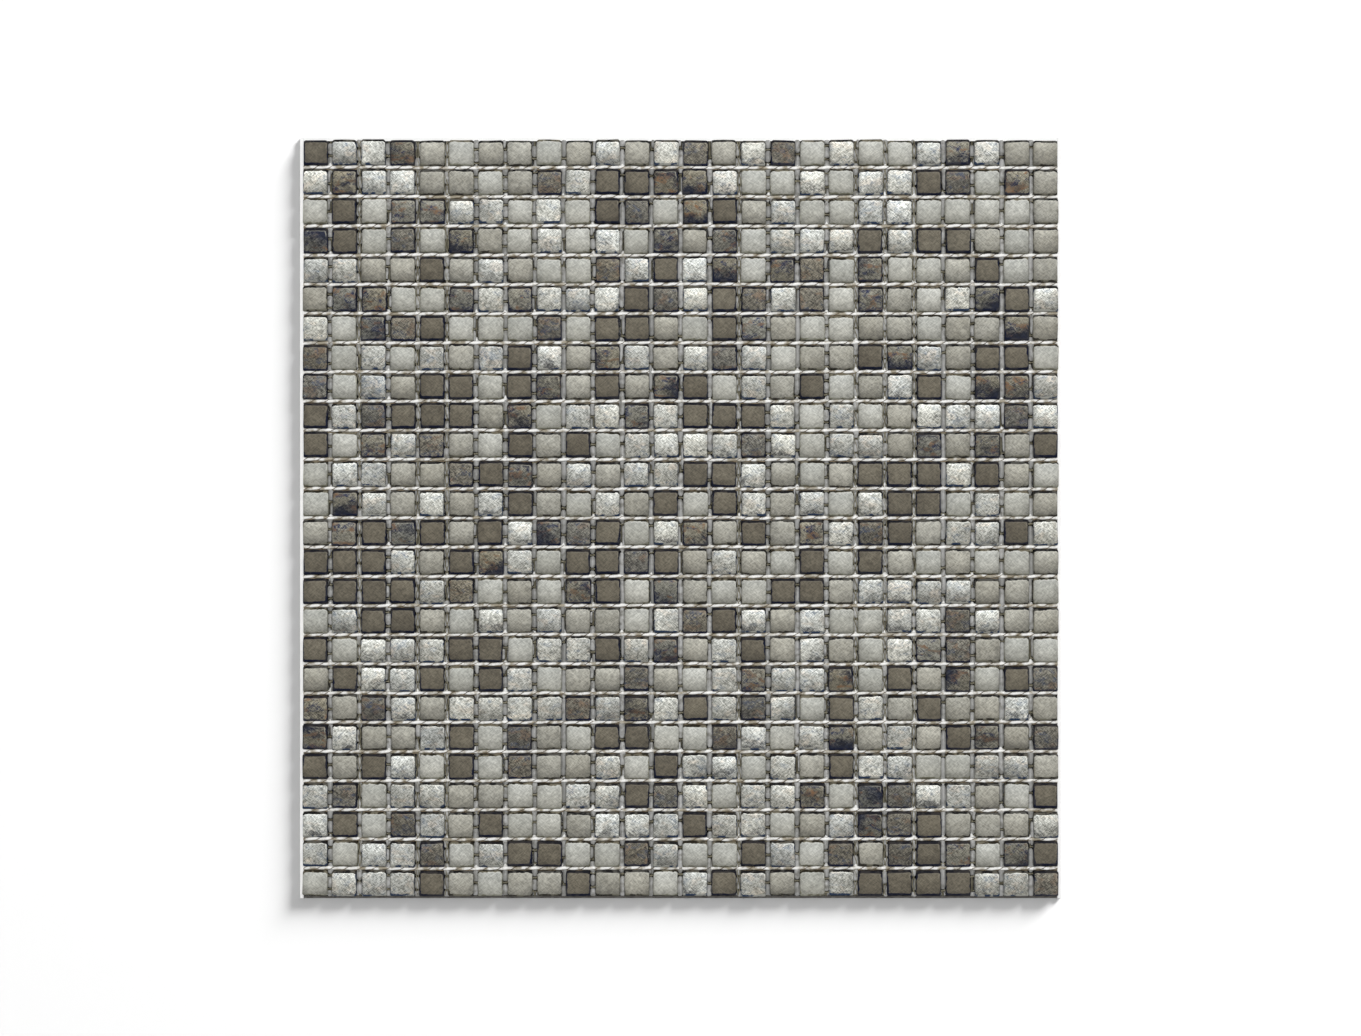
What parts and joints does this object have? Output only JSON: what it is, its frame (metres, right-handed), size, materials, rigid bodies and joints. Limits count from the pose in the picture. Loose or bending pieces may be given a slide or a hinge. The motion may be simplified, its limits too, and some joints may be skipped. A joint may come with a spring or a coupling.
{
  "type": "mosaic tile sheet",
  "caption": "Square sheet of small square glazed tiles in mixed greys, held with open joints on a glass yarn net, for walls and splashbacks.",
  "frame": {"origin": "middle of the sheet, on the underside of the net it lies on", "axes": "+Z out of the glazed faces, +X along the rows of tiles, +Y along the columns"},
  "size_m": [0.3, 0.3, 0.0046],
  "materials": {
    "pale_grey_glaze": "satin glaze, light grey",
    "warm_grey_glaze": "satin glaze, beige grey",
    "dark_taupe_glaze": "matte glaze, grey brown",
    "silver_lustre_glaze": "silvery lustre glaze, finely speckled",
    "smoked_lustre_glaze": "dark lustre glaze with blue and bronze clouds",
    "speckled_glaze": "grey brown glaze with fine speckle",
    "glass_yarn": "coated glass yarn, off-white, slightly glossy"
  },
  "bodies": {
    "root": {"pale_grey_tiles": "pale_grey_glaze", "warm_grey_tiles": "warm_grey_glaze", "dark_taupe_tiles": "dark_taupe_glaze", "silver_tiles": "silver_lustre_glaze", "smoked_tiles": "smoked_lustre_glaze", "speckled_tiles": "speckled_glaze", "net_weft": "glass_yarn", "net_warp": "glass_yarn"}
  },
  "joints": []
}
